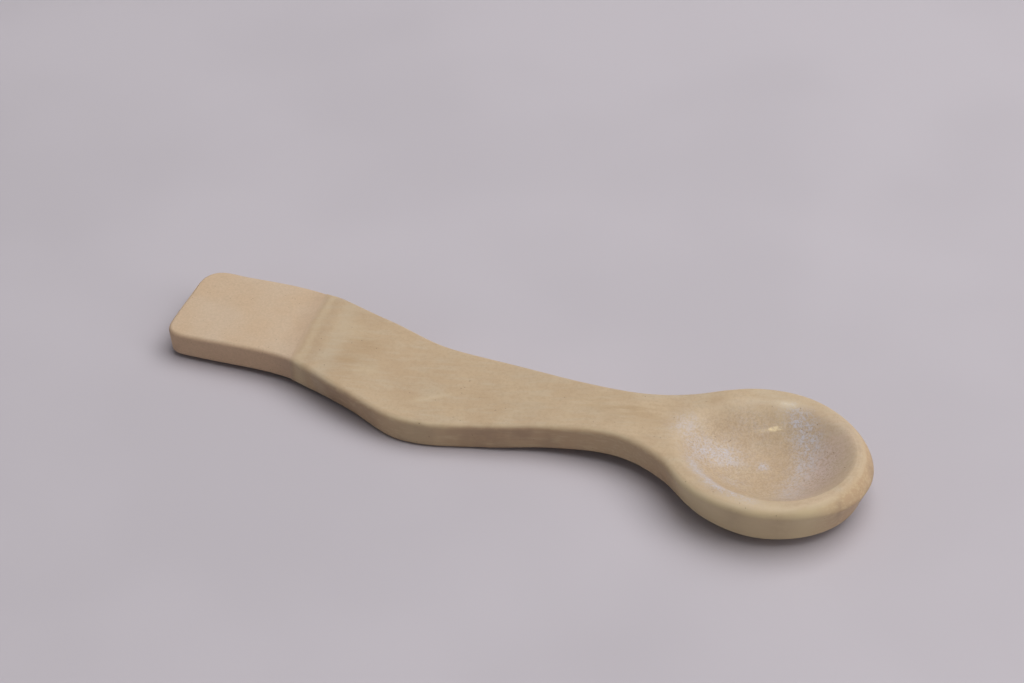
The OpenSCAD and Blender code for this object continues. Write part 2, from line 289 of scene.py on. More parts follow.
class SpoonSkin:
    """Works out one surface of the spoon from its sizes: the glaze's own, or the clay's."""

    def __init__(self, sizes: SpoonSizes, fine: Fineness, fading: Fading, glazed: bool) -> None:
        """Lays out the spoon's outline, and the edges of its top and its underside.

        Args:
            sizes: the spoon's sizes.
            fine: how finely it is cut.
            fading: how its marks pass from the top into the walls.
            glazed: true for the glaze's own surface, false for the clay's.
        """
        self.sizes = sizes
        self.fine = fine
        self.fading = fading
        self.glazed = glazed
        self.stations = self._stations()
        self.line_row = fine.corner_rows + fine.span_rows[0]
        self.neck_row = fine.corner_rows + sum(fine.span_rows[:fine.neck_span])
        self.left_start = 2 * (fine.corner_rows + sum(fine.span_rows)) + fine.arc_steps
        self.outline = self._outline()
        self.round = len(self.outline)
        along = way(np.roll(self.outline, 1, axis=0), np.roll(self.outline, -1, axis=0))
        self.outward = np.stack([along[:, 1], -along[:, 0]], axis=-1)
        self.top_edge = self._drawn_in(self.outline[:, Value.UPPER])
        self.under_edge = self._drawn_in(self._lower(self.outline)[0])

    def _stations(self) -> dict[str, Grid]:
        """Works out the stations, of which some lie at given shares of the way between two others.

        Returns:
            Reach, width, shift, lift and thickness at each station, by its name.
        """
        s = self.sizes
        angle = math.radians(s.arc_angle)
        end = np.array([s.end_reach, s.end_w, s.end_shift, s.end_lift, s.slab_t])
        line = np.array([s.end_reach - s.bare_len, s.line_w, s.line_shift, s.line_lift, s.slab_t])
        knee = np.array([s.knee_reach, s.knee_w, s.knee_shift, 0.0, s.slab_t])
        neck = np.array([s.neck_reach, s.neck_w, s.neck_shift, s.neck_lift, s.slab_t])
        bowl = np.array([
            -s.tip_reach * math.cos(angle), s.bowl_w * math.sin(angle), 0.0,
            s.bowl_lift, s.rim_h - s.bowl_lift,
        ])
        return {
            "end": end, "line": line, "knee": knee, "neck": neck,
            "bend": mix(line, knee, np.array(s.bend_shares)),
            "middle": mix(knee, neck, np.array(s.middle_shares)),
            "wrist": mix(knee, neck, np.array(s.wrist_shares)),
            "shoulder": mix(neck, bowl, np.array(s.shoulder_shares)),
        }

    def _place(self, name: str, side: Side, lean: float | None = None) -> Grid:
        """The outline place of a station on one side.

        The end and the glaze line are skewed, so they reach further on the left.

        Args:
            name: the station's name.
            side: the side of the spoon.
            lean: how far the wall leans in, or None for the handle's own lean.

        Returns:
            Ten values, in the order of Value.
        """
        s = self.sizes
        reach, width, shift, lift, tall = self.stations[name]
        skew = {"end": s.end_skew, "line": s.line_skew}.get(name, 0.0)
        return np.array([
            -reach - side * skew / 2, shift + side * width / 2, lift, tall,
            s.edge_r, s.edge_r, 1.0, s.under_r, s.wall_lean if lean is None else lean, 0.0,
        ])

    def _bowl_places(self, degrees: Grid) -> Grid:
        """Outline places round the bowl: an ellipse whose angle is counted from the tip.

        The rim rises towards its high side by the square of its nearness to it, and slopes
        towards the tip by the fourth power of its nearness to where it slopes most.

        Args:
            degrees: the places' angles.

        Returns:
            Ten values a place, in the order of Value.
        """
        s, angle = self.sizes, np.radians(degrees)
        tip = nearness(angle, s.sloping_angle) ** 4
        high = nearness(angle, s.high_angle) ** 2
        widest, even = s.rim_w * s.rim_round_share, np.ones_like(angle)
        round_r = min(s.rim_r, widest)
        drop = (s.rim_h - s.bowl_lift - s.bowl_under_r) * s.tip_slope_share
        return np.column_stack([
            s.tip_reach * np.cos(angle), s.bowl_w / 2 * np.sin(angle),
            even * s.bowl_lift, s.rim_h + s.rim_rise * high - s.bowl_lift,
            mix(round_r, widest, tip), mix(round_r, drop, tip), mix(1.0, s.sloping_power, tip),
            even * s.bowl_under_r, mix(s.bowl_lean, s.high_lean, high),
            even * math.tan(math.radians(s.belly_slope)),
        ])

    def _shoulder(self, side: Side) -> Grid:
        """The shoulder, whose edges are mixed with the bowl's by the last of its shares.

        Args:
            side: the side of the spoon.

        Returns:
            Its place.
        """
        own = self._place("shoulder", side)
        bowl = self._bowl_places(np.array([self.sizes.arc_angle]))[0]
        edges = mix(own, bowl, self.sizes.shoulder_shares[-1])
        return np.concatenate([own[:Value.UPPER], edges[Value.UPPER:]])

    def _corner_places(self, side: Side, shares: Grid) -> Grid:
        """The rounded corner of the cut end: a parabola steered by the sharp corner.

        Args:
            side: the side of the spoon.
            shares: 0 where the corner leaves the side, 1 where it meets the cut end.

        Returns:
            One place a share.
        """
        s = self.sizes
        corner, other = self._place("end", side), self._place("end", Side(-side))
        reach = s.right_corner_r if side is Side.RIGHT else s.left_corner_r
        on_side = corner + way(corner, self._place("line", side)) * reach
        on_end = corner + way(corner, other) * reach
        share = np.asarray(shares, dtype=float)[:, None]
        return mix(mix(on_side, corner, share), mix(corner, on_end, share), share)

    @staticmethod
    def _curve_places(knots: list[Grid], count: int) -> Grid:
        """A smooth curve from the second knot up to the third.

        The slope at a knot is the mean of the slopes to its two neighbours, each weighed by the
        other one's length, and a cubic joins the two knots with those slopes.

        Args:
            knots: four knots in a row; the outer two only steer the curve.
            count: number of places, the third knot not among them.

        Returns:
            The places, one a row.
        """
        before, start, end, after = knots
        ab, bc, cd = plan_length(start - before), plan_length(end - start), plan_length(after - end)
        leaving = ((start - before) * bc / ab + (end - start) * ab / bc) * bc / (ab + bc)
        arriving = ((end - start) * cd / bc + (after - end) * bc / cd) * bc / (bc + cd)
        share = (np.arange(count) / count)[:, None]
        rest = 1.0 - share
        return (
            start * (1 + 2 * share) * rest ** 2 + leaving * share * rest ** 2
            + end * (3 - 2 * share) * share ** 2 - arriving * rest * share ** 2
        )

    def _side_rows(self, side: Side) -> Grid:
        """One side, from the middle of the rounded corner up to the bowl's arc.

        Args:
            side: the side of the spoon.

        Returns:
            Its places, one a row.
        """
        s, fine = self.sizes, self.fine
        lean = s.bend_lean if side is Side.RIGHT else s.wall_lean
        arc = self._bowl_places(np.array([side * s.arc_angle, side * s.guide_angle]))
        knots = [
            self._place("end", side), self._corner_places(side, np.zeros(1))[0],
            self._place("line", side), self._place("bend", side, lean),
            self._place("knee", side), self._place("middle", side), self._place("wrist", side),
            self._place("neck", side), self._shoulder(side), arc[0], arc[1],
        ]
        corner = self._corner_places(side, (1 - np.arange(fine.corner_rows) / fine.corner_rows) / 2)
        spans = [
            self._curve_places(knots[i:i + 4], count) for i, count in enumerate(fine.span_rows)
        ]
        return np.concatenate([corner, *spans])

    def _end_places(self, cols: Grid) -> Grid:
        """The cut end, from the middle of its right corner to that of its left one.

        Args:
            cols: columns of the handle, counted from the right.

        Returns:
            One place a column.
        """
        fine = self.fine
        right = cols < fine.cols / 2
        from_side = np.where(right, cols, fine.cols - cols)
        on_corner = np.minimum(1.0, from_side / fine.corner_cols)
        along = np.maximum(0.0, from_side - fine.corner_cols) / (fine.cols - 2 * fine.corner_cols)
        made = []
        for side in (Side.RIGHT, Side.LEFT):
            own = self._corner_places(side, mix(0.5, 1.0, on_corner))
            other = self._corner_places(Side(-side), np.ones(1))[0]
            made.append(mix(own, other, along[:, None]))
        return np.where(right[:, None], made[0], made[1])

    def _outline(self) -> Grid:
        """The whole outline, anticlockwise from above.

        Returns:
            One place a row, its last value the distance past the glaze line.
        """
        right, left = self._side_rows(Side.RIGHT), self._side_rows(Side.LEFT)
        turns = self.sizes.arc_angle * (
            2 * np.arange(self.fine.arc_steps + 1) / self.fine.arc_steps - 1
        )
        cut_end = self._end_places(np.arange(self.fine.cols - 1, 0, -1))
        places = np.concatenate([right, self._bowl_places(turns), left[::-1], cut_end])
        start = self._place("line", Side.RIGHT)
        line = way(start, self._place("line", Side.LEFT))
        step = places - start
        past = step[:, 0] * line[1] - step[:, 1] * line[0]
        return np.column_stack([places, past])

    def _left_of(self, row: Rows | int) -> Rows | int:
        """Where a row's left place stands in the outline."""
        return self.left_start - row

    def _end_of(self, col: Rows) -> Rows:
        """Where a column's end place stands in the outline."""
        return (self.left_start + self.fine.cols - col) % self.round

    def _depth(self, place: Grid) -> Grid:
        """How far a surface lies inside the glaze's full thickness.

        The clay lies inside it by all of it, and the glaze's own surface only by what its
        feathered edge is thinner.

        Args:
            place: places of the outline or of the handle.

        Returns:
            The depth at each place.
        """
        s = self.sizes
        if not self.glazed:
            return np.full(place.shape[:-1], s.glaze_t)
        return (s.glaze_t - s.glaze_edge_t) * (1 - ease(place[..., Value.PAST] / s.glaze_feather))

    def _drawn_in(self, length: Grid, rows: Rows | slice = slice(None)) -> Grid:
        """Draws places of the outline in, each along its own inward direction.

        Args:
            length: how far, for each place.
            rows: which places, by default all.

        Returns:
            The places.
        """
        made = self.outline[rows].copy()
        made[:, :2] -= self.outward[rows] * length[:, None]
        return made

    def _top_z(self, place: Grid) -> Grid:
        """Height of the top at a place: the underside's height, the thickness, less the depth."""
        return place[..., Value.LIFT] + place[..., Value.TALL] - self._depth(place)

    def _lower(self, place: Grid, share: float = 1.0) -> tuple[Grid, Grid]:
        """The lower edge, which turns through a right angle, less where the underside slopes.

        Args:
            place: places of the outline or of the handle.
            share: how much of its turn is done.

        Returns:
            How far it lies inside the outline, and its height.
        """
        radius, deep = place[..., Value.UNDER], self._depth(place)
        turn = (90.0 - np.degrees(np.arctan(place[..., Value.SLOPE]))) * share
        inset = place[..., Value.LEAN] + radius - (radius - deep) * np.cos(np.radians(turn))
        low = np.maximum(0.0, place[..., Value.LIFT]) + deep
        return inset, low + (radius - deep) * (1 - np.sin(np.radians(turn)))

    def _columns(self, rows: Rows, flipped: bool = True) -> Patch:
        """Columns of the wall, from the top's edge down to the underside's edge.

        A column is a quarter turn of the upper edge, a straight wall, and a part circle of the
        lower edge's radius. The quarter turn reaches in by UPPER and down by DROP, and takes the
        sine and the cosine of its angle to the power of POWER. Its marks pass from top to wall
        the sooner the higher the power is, as the glaze did on the sloping face at the tip.

        Args:
            rows: places of the outline.
            flipped: whether the patch is flipped.

        Returns:
            A patch with one column of the wall a row.
        """
        fine, fading, p = self.fine, self.fading, self.outline[rows]
        deep = self._depth(p)
        reach, drop, power = p[:, Value.UPPER], p[:, Value.DROP], p[:, Value.POWER]
        sooner = 1 + fading.haste * (power - 1)
        points, edge, wall = [], [], []
        for turn in 90.0 * np.arange(fine.upper_steps + 1) / fine.upper_steps:
            out = math.sin(math.radians(turn)) ** power
            fall = 1 - max(0.0, math.cos(math.radians(turn))) ** power
            at = self._drawn_in(reach - (reach - deep) * out, rows)
            z = self._top_z(p) - (drop - deep) * fall
            points.append(np.column_stack([at[:, :2], z]))
            edge.append(np.sin(np.radians(2.0 * np.minimum(90.0, sooner * turn))))
            wall.append(ease((sooner * turn - fading.wall_from) / fading.wall_over))
        lower = []
        for share in np.arange(fine.lower_steps + 1) / fine.lower_steps:
            inset, z = self._lower(p, share)
            lower.append(np.column_stack([self._drawn_in(inset, rows)[:, :2], z]))
        upper = points[-1]
        points += [mix(upper, lower[0], k / fine.wall_steps) for k in range(1, fine.wall_steps)]
        points += lower
        plain = len(points) - len(edge)
        edge += [np.zeros(len(rows))] * plain
        wall += [np.ones(len(rows))] * plain
        return patch_of(np.stack(points, axis=1), p[:, Value.PAST, None], flipped,
                        edge=np.stack(edge, axis=1), wall=np.stack(wall, axis=1))

    def _row_places(self, edge: Grid, rows: Rows) -> Grid:
        """Places across the handle, row by row.

        Each row is straight between its two edge places, and near the cut end it takes on that
        end's shape, by a share that eases from 1 at the end to 0 at the glaze line.

        Args:
            edge: the edge loop that the rows hang in.
            rows: the rows to make.

        Returns:
            Rows by columns by values.
        """
        cols = np.arange(self.fine.cols + 1)
        share = (cols / self.fine.cols)[None, :, None]
        across = mix(edge[rows][:, None], edge[self._left_of(rows)][:, None], share)
        end = edge[self._end_of(cols)]
        extra = end - mix(edge[0], edge[self._left_of(0)], share[0])
        fade = 1 - ease(rows / self.line_row)
        made = across + extra[None] * fade[:, None, None]
        made[rows == 0] = end
        return made

    def _loop(self, edge: Grid) -> Grid:
        """The loop round the bowl, anticlockwise from the right of the neck, which it crosses.

        Args:
            edge: the edge loop that it is a part of.

        Returns:
            Its places.
        """
        arc = edge[self.neck_row:self._left_of(self.neck_row) + 1]
        neck = self._row_places(edge, np.array([self.neck_row]))[0]
        return np.concatenate([arc, neck[self.fine.cols - 1::-1]])

    def _hollow_ring(self, loop: Grid, share: float) -> Grid:
        """One ring of the hollow, in line with a loop's places.

        Its outermost ring is an egg: an ellipse about a middle that lies towards the neck by half
        the runout, made wider towards the tip by a share of the cosine of its angle. It falls
        from the top to the floor by a cubic bowl, raised to a power that softens its lip: a low
        power at the rim's high side and a high one opposite, by the nearness.

        Args:
            loop: the loop's places.
            share: 1 at the hollow's edge, 0 at its middle.

        Returns:
            The ring's points.
        """
        s = self.sizes
        middle = -s.hollow_runout / 2
        long, wide = s.tip_reach - s.rim_w - middle, s.bowl_w / 2 - s.rim_w
        angle = np.arctan2(loop[:, 1] / wide, (loop[:, 0] - middle) / long)
        power = mix(s.soft_lip_power, s.crisp_lip_power, nearness(angle, s.high_angle))
        high = loop[:, Value.LIFT] + loop[:, Value.TALL]
        fallen = mix(high, s.floor_t, (1 - share ** s.dish_power) ** power)
        pool = 0.0 if self.glazed else s.pool_t * (1 - share ** 2) ** 2
        return np.column_stack([
            middle + long * np.cos(angle) * share,
            wide * np.sin(angle) * (1 + s.egg_share * np.cos(angle)) * share,
            fallen - pool - self._depth(loop),
        ])

    def end_patch(self) -> Patch:
        """The wall of the cut end, which is bare clay."""
        return self._columns(self._end_of(np.arange(self.fine.cols + 1)), flipped=False)

    def top_patch(self, row: int) -> Patch:
        """The handle's top.

        Args:
            row: the row from which it reaches to the neck.

        Returns:
            The patch.
        """
        p = self._row_places(self.top_edge, np.arange(row, self.neck_row + 1))
        points = np.dstack([p[..., :2], self._top_z(p)])
        cols = np.arange(self.fine.cols + 1)
        width = plan_length(p[:, -1] - p[:, 0])
        inside = np.minimum(cols, self.fine.cols - cols)[None] / self.fine.cols * width
        return patch_of(points, p[..., Value.PAST], False, edge=self.fading.beside(inside))

    def under_patch(self, row: int) -> Patch:
        """The handle's underside.

        Args:
            row: the row from which it reaches to the neck.

        Returns:
            The patch.
        """
        p = self._row_places(self.under_edge, np.arange(row, self.neck_row + 1))
        points = np.dstack([p[..., :2], self._lower(p)[1]])
        return patch_of(points, p[..., Value.PAST], True, wall=1.0)

    def bowl_patch(self) -> Patch:
        """The rim and the hollow, ring by ring from the rounded edge to the hollow's middle.

        The edge mark fades in the hollow by the fourth power of the ring's share.

        Returns:
            The patch.
        """
        fine, fading = self.fine, self.fading
        loop = self._loop(self.top_edge)
        egg = self._hollow_ring(loop, 1.0)[:, :2]
        width = plan_length(loop[:, :2] - egg)[:, 0]
        rings, edge, dish = [], [], []
        for share in np.arange(fine.rim_steps, 0, -1) / fine.rim_steps:
            at = mix(egg, loop[:, :2], share)
            rings.append(np.column_stack([at, self._top_z(loop)]))
            edge.append(fading.beside(width * (1 - share)))
            dish.append(np.zeros(len(loop)))
        for share in np.arange(fine.hollow_steps, -1, -1) / fine.hollow_steps:
            rings.append(self._hollow_ring(loop, share))
            edge.append(fading.beside(width) * share ** 4)
            dish.append(np.full(len(loop), 1.0 - share))
        return patch_of(np.stack(rings), loop[None, :, Value.PAST], True,
                        edge=np.stack(edge), dish=np.stack(dish))

    def belly_patch(self) -> Patch:
        """The bowl's underside, from the wall's lower edge to the flat that it rests on.

        A cubic rises from the flat and meets the wall at the lower edge's own slope.

        Returns:
            The patch.
        """
        s, fine = self.sizes, self.fine
        loop = self._loop(self.under_edge)
        plan = loop[:, :2]
        low = self._depth(loop)
        start = plan * s.foot_d / 2 / plan_length(plan)
        length = plan_length(plan - start)[:, 0]
        rise = self._lower(loop)[1] - low
        climb = np.minimum(loop[:, Value.SLOPE] * length, rise * s.steepest)
        rings = []
        for share in np.arange(fine.belly_steps, -1, -1) / fine.belly_steps:
            z = low + rise * share ** 2 * (3 - 2 * share) - climb * share ** 2 * (1 - share)
            rings.append(np.column_stack([mix(start, plan, share), z]))
        rings += [np.column_stack([start * share, low]) for share in fine.foot_shares]
        return patch_of(np.stack(rings), loop[None, :, Value.PAST], False, wall=1.0)

    def skin(self, row: int) -> list[Patch]:
        """The surface from a row of the handle to the bowl's tip.

        Args:
            row: the row.

        Returns:
            Its patches: wall, top, underside, bowl and belly.
        """
        return [
            self._columns(np.arange(row, self._left_of(row) + 1)), self.top_patch(row),
            self.under_patch(row), self.bowl_patch(), self.belly_patch(),
        ]

    def line_patch(self, clay: "SpoonSkin") -> Patch:
        """The glaze's thin edge on the glaze line: a band from its own section to the clay's.

        Args:
            clay: the skin of the clay.

        Returns:
            The patch.
        """
        row, back = self.line_row, self.fine.cols - 1
        rings = []
        for skin in (self, clay):
            wall = skin._columns(np.array([skin._left_of(row), row]))
            patches = skin.top_patch(row), wall, skin.under_patch(row)
            upper, sides, lower = (np.dstack([p.points, p.marks]) for p in patches)
            rings.append(np.concatenate([
                upper[0], sides[0, 1:], lower[0, back::-1], sides[1, -2::-1],
            ]))
        made = np.stack(rings)
        return Patch(made[..., :3], made[..., 3:], True)


@dataclass
class Surface:
    """Welded points, faces and marks of a closed skin, in millimetres."""

    points: Grid
    faces: list[list[int]]
    marks: Grid


def weld(patches: list[Patch], grain: float = 0.0001, offset: float = 0.37) -> Surface:
    """Joins patches that share borders into one closed surface.

    Points that fall in the same cell of a very fine grid become one point. Of a face with two
    points alike a triangle is left, and a face with fewer than three points is dropped.

    Args:
        patches: the patches of the skin.
        grain: size of a cell, in millimetres.
        offset: shift of the grid in cells, which keeps round sizes off the cells' borders.

    Returns:
        The welded surface, its faces turned outwards.
    """
    points = np.concatenate([p.points.reshape(-1, 3) for p in patches])
    marks = np.concatenate([p.marks.reshape(-1, p.marks.shape[-1]) for p in patches])
    cells = np.floor(points / grain + offset).astype(np.int64)
    _, first, number = np.unique(cells, axis=0, return_index=True, return_inverse=True)
    number = number.reshape(-1)
    quads, start = [], 0
    for p in patches:
        rows, cols = p.points.shape[:2]
        at = number[start + np.arange(rows * cols)].reshape(rows, cols)
        corners = [at[:-1, :-1], at[1:, :-1], at[1:, 1:], at[:-1, 1:]]
        if p.flipped:
            corners.reverse()
        quads.append(np.stack(corners, axis=-1).reshape(-1, 4))
        start += rows * cols
    quad = np.concatenate(quads)
    same = quad == np.roll(quad, -1, axis=1)
    whole = quad[same.sum(axis=1) == 0]
    faces = whole[(whole[:, 0] != whole[:, 2]) & (whole[:, 1] != whole[:, 3])].tolist()
    for k in range(4):
        lean = quad[(same.sum(axis=1) == 1) & same[:, k]]
        faces += np.delete(lean, k, axis=1).tolist()
    return Surface(points[first], faces, marks[first])


@dataclass(frozen=True)
class HandWaves:
    """The slow unevenness of a thing made by hand: a sum of sine waves of given lengths.

    Attributes:
        lengths: wave lengths in millimetres.
        heights: how far each wave moves the surface, in millimetres.
        still: height above the table up to which the rise and fall is held back.
        seed: fixes the waves' directions and phases.
    """

    lengths: tuple[float, ...] = (46.0, 31.0, 22.0, 16.0, 11.5, 8.0)
    heights: tuple[float, ...] = (0.10, 0.09, 0.08, 0.06, 0.045, 0.03)
    still: float = 2.5
    seed: int = 11

    def moved(self, points: Grid) -> Grid:
        """Adds the waves to points, with no rise or fall where they touch the table.

        Args:
            points: points by three, in millimetres.

        Returns:
            The moved points.
        """
        rng = np.random.default_rng(self.seed)
        count = len(self.lengths)
        ways = rng.normal(size=(count, 3))
        ways *= (2 * math.pi / np.array(self.lengths) / np.linalg.norm(ways, axis=1))[:, None]
        pushes = rng.normal(size=(count, 3))
        pushes *= (np.array(self.heights) / np.linalg.norm(pushes, axis=1))[:, None]
        wave = np.sin(points @ ways.T + rng.uniform(0, 2 * math.pi, count)) @ pushes
        wave[:, 2] *= ease(points[:, 2] / self.still)
        return points + wave


def pull_into_box(surfaces: list[Surface], low: Grid, high: Grid) -> None:
    """Draws all surfaces together into a box, by one straight scale an axis where they stand out.

    Args:
        surfaces: the surfaces, whose points are changed.
        low: lowest corner, in millimetres.
        high: highest corner, in millimetres.
    """
    every = np.concatenate([s.points for s in surfaces])
    own_low, own_high = every.min(axis=0), every.max(axis=0)
    new_low, new_high = np.maximum(own_low, low), np.minimum(own_high, high)
    scale = (new_high - new_low) / (own_high - own_low)
    for surface in surfaces:
        surface.points = new_low + (surface.points - own_low) * scale


def screen(red: int, green: int, blue: int) -> Tone:
    """Turns a colour as a screen shows it into the linear one that light uses.

    Args:
        red, green, blue: its parts, each from 0 to 255.

    Returns:
        The linear colour.
    """
    shares = np.array([red, green, blue]) / 255.0
    linear = np.where(shares <= 0.04045, shares / 12.92, ((shares + 0.055) / 1.055) ** 2.4)
    return tuple(float(v) for v in linear)


class Wiring:
    """Adds nodes to one tree."""

    def __init__(self, tree: bpy.types.NodeTree) -> None:
        """Keeps the tree."""
        self.tree = tree

    def feed(self, node: bpy.types.Node, inputs: Inputs) -> None:
        """Links inputs of a node to sockets, or sets them to constants.

        Args:
            node: the node.
            inputs: what goes into each input, by its name or number.
        """
        for name, value in inputs.items():
            if isinstance(value, Socket):
                self.tree.links.new(value, node.inputs[name])
            else:
                node.inputs[name].default_value = value

    def node(self, kind: str, inputs: Inputs, output: str | int = 0, **settings: str) -> Socket:
        """Adds a node.

        Args:
            kind: Blender's name of the node, without the ShaderNode before it.
            inputs: what goes into its inputs.
            output: the output that is wanted.
            settings: its other settings, by Blender's names.

        Returns:
            The wanted output.
        """
        node = self.tree.nodes.new("ShaderNode" + kind)
        for name, value in settings.items():
            setattr(node, name, value)
        self.feed(node, inputs)
        return node.outputs[output]


class Brush(Wiring):
    """Paints one material, in terms of millimetres on the piece."""

    def __init__(self, name: str, body: Tone) -> None:
        """Makes the material, and a point of the piece in millimetres for its patterns.

        Args:
            name: its name.
            body: the tone that it starts with all over.
        """
        self.material = bpy.data.materials.new(name)
        self.material.use_nodes = True
        super().__init__(self.material.node_tree)
        self.colour: Socket | Tone = body
        place = self.node("TexCoord", {}, "Object")
        self.place = self.scaled(place, (1 / MILLIMETRE,) * 3)

    def scaled(self, vector: Socket, by: Tone) -> Socket:
        """A vector with each of its values multiplied."""
        return self.node("VectorMath", {0: vector, 1: by}, operation="MULTIPLY")

    def mark(self, name: str) -> Socket:
        """One of the marks that the points of the piece carry."""
        return self.node("Attribute", {}, "Fac", attribute_name=name)

    def noise(self, per_mm: float, detail: float = 2.0, rough: float = 0.5,
              along: float = 1.0, turn: float = 0.0, shift: float = 0.0) -> Socket:
        """Cloudy noise on the piece.

        Args:
            per_mm: how many clouds there are in a millimetre.
            detail: how many finer layers are added.
            rough: how strong each finer layer is beside the one before.
            along: scale along the noise's own direction; under 1 it is drawn out into streaks.
            turn: that direction, in degrees from +X.
            shift: moves the noise, so that two of them differ.

        Returns:
            A value that keeps near one half.
        """
        where = self.place
        if turn:
            back = {"Vector": where, "Angle": math.radians(-turn)}
            where = self.node("VectorRotate", back, rotation_type="Z_AXIS")
        if along != 1.0:
            where = self.scaled(where, (along, 1.0, 1.0))
        inputs = {"Vector": where, "W": shift, "Scale": per_mm, "Detail": detail, "Roughness": rough}
        return self.node("TexNoise", inputs, "Fac", noise_dimensions="4D")

    def dots(self, per_mm: float, outer: float, inner: float, few: Socket) -> Socket:
        """Dots at scattered points, from an outer to an inner distance, where few is high."""
        cells = self.node("TexVoronoi", {"Vector": self.place, "Scale": per_mm}, "Distance")
        return self.times(self.between(cells, outer, inner), self.between(few, *FEW_DOTS))

    def between(self, value: Socket, low: float, high: float,
                start: float = 0.0, end: float = 1.0) -> Socket:
        """Eases from start to end while a value goes from low to high."""
        inputs = {"Value": value, "From Min": low, "From Max": high, "To Min": start, "To Max": end}
        return self.node("MapRange", inputs, interpolation_type="SMOOTHSTEP")

    def times(self, *values: Socket | float) -> Socket:
        """Multiplies several values.

        Args:
            values: the values. The first one is a socket, unless it is alone.

        Returns:
            Their product.
        """
        made = values[0]
        for value in values[1:]:
            made = self.node("Math", {0: made, 1: value}, operation="MULTIPLY")
        return made

    def plus(self, first: Socket, second: Socket | float) -> Socket:
        """The sum of two values."""
        return self.node("Math", {0: first, 1: second}, operation="ADD")

    def lay(self, tone: Tone | Socket, *shares: Socket | float, how: str = "MIX") -> None:
        """Lays a tone over the colour so far.

        Args:
            tone: the tone.
            shares: how much of it, as the product of these values.
            how: Blender's name of the way to mix.
        """
        under, over = (
            (*value, 1.0) if isinstance(value, tuple) else value for value in (self.colour, tone)
        )
        inputs = {MIX_SHARE: self.times(*shares), MIX_UNDER: under, MIX_OVER: over}
        self.colour = self.node("Mix", inputs, MIX_RESULT, data_type="RGBA", blend_type=how)

    def relief(self, height: Socket, depth: float, under: Socket | None = None) -> Socket:
        """A normal with bumps of this depth in millimetres, laid on the normal under it."""
        inputs = {"Height": height, "Distance": depth * MILLIMETRE}
        return self.node("Bump", inputs if under is None else {**inputs, "Normal": under})

    def finish(self, roughness: Socket, normal: Socket, shine: float) -> bpy.types.Material:
        """Joins everything to the shader.

        Args:
            roughness: how rough it is.
            normal: its bumpy normal.
            shine: its specular level.

        Returns:
            The material.
        """
        self.feed(self.tree.nodes["Principled BSDF"], {
            "Base Color": self.colour, "Roughness": roughness, "Normal": normal,
            "Specular IOR Level": shine,
        })
        return self.material


@dataclass(frozen=True)
class BareClay:
    """Smooth pinkish-beige stoneware that was wiped and left unglazed.

    Attributes:
        body: its main tone.
        pale: the tone of worn and dry places.
        warm: the pinker tone of its cut walls.
        stained: the browner tone beside the glaze line, where glaze was wiped off.
        speck: the tone of the few dark grains in it.
        rough: between which roughnesses it lies.
        shine: its specular level.
    """

    body: Tone = screen(196, 170, 143)
    pale: Tone = screen(198, 176, 153)
    warm: Tone = screen(200, 169, 140)
    stained: Tone = screen(172, 148, 127)
    speck: Tone = screen(133, 112, 98)
    rough: tuple[float, float] = (0.72, 0.86)
    shine: float = 0.3

    def material(self) -> bpy.types.Material:
        """Builds the clay: soft clouds, a pinker wall, fine grain and faint wiping marks.

        Returns:
            The material.
        """
        b = Brush("bare_clay", self.body)
        b.lay(self.pale, b.between(b.noise(0.12, 3.0), 0.35, 0.68))
        b.lay(self.warm, b.mark(Mark.WALL), 0.75)
        ragged = b.times(b.plus(b.noise(0.4, 2.0, shift=6.0), -0.5), 2.0)
        past = b.plus(b.mark(Mark.PAST), ragged)
        b.lay(self.stained, b.between(past, -4.0, -0.2), 0.35)
        grain = b.between(b.noise(2.6, 4.0, 0.7, shift=3.0), 0.3, 0.7, 0.93, 1.05)
        grey = b.node("CombineColor", {"Red": grain, "Green": grain, "Blue": grain})
        b.lay(grey, 1.0, how="MULTIPLY")
        b.lay(self.speck, b.dots(1.6, 0.2, 0.12, b.noise(0.9, 0.0, shift=8.0)), 0.45)
        roughness = b.between(b.noise(0.5, 3.0, shift=5.0), 0.3, 0.7, *self.rough)
        wiped = b.relief(b.noise(0.8, 3.0, 0.6, 0.22), 0.03)
        normal = b.relief(b.noise(4.5, 3.0, 0.65, shift=2.0), 0.02, wiped)
        return b.finish(roughness, normal, self.shine)


@dataclass(frozen=True)
class Spot:
    """A soft ellipse on the spoon, seen from above, where the glaze differs.

    Attributes:
        x, y: its middle, in millimetres.
        long, wide: its half lengths along and across its own direction.
        turn: its direction from +X, in degrees.
        strength: how strong it is, from 0 to 1.
    """

    x: float
    y: float
    long: float
    wide: float
    turn: float = 0.0
    strength: float = 1.0

    def share(self, points: Grid) -> Grid:
        """How strong the spot is: a bell that falls with the squared distance.

        Args:
            points: points by three, in millimetres.

        Returns:
            Its strength at each point.
        """
        angle = math.radians(self.turn)
        dx, dy = points[:, 0] - self.x, points[:, 1] - self.y
        along = (dx * math.cos(angle) + dy * math.sin(angle)) / self.long
        across = (dy * math.cos(angle) - dx * math.sin(angle)) / self.wide
        return self.strength * np.exp(-(along ** 2 + across ** 2))


@dataclass(frozen=True)
class SpotMark:
    """A mark that the glaze carries where its spots of one kind lie.

    Attributes:
        name: the mark's name.
        spots: the spots.
        on_wall: true if the spots lie on the walls, false if on the top.
    """

    name: str
    spots: tuple[Spot, ...]
    on_wall: bool = False

    def values(self, surface: Surface) -> Grid:
        """Adds up the spots.

        Args:
            surface: the surface that they lie on.

        Returns:
            Their sum at each of its points, held between 0 and 1.
        """
        wall = surface.marks[:, list(Mark).index(Mark.WALL)]
        where = wall if self.on_wall else 1.0 - wall
        return np.clip(sum(spot.share(surface.points) for spot in self.spots), 0.0, 1.0) * where


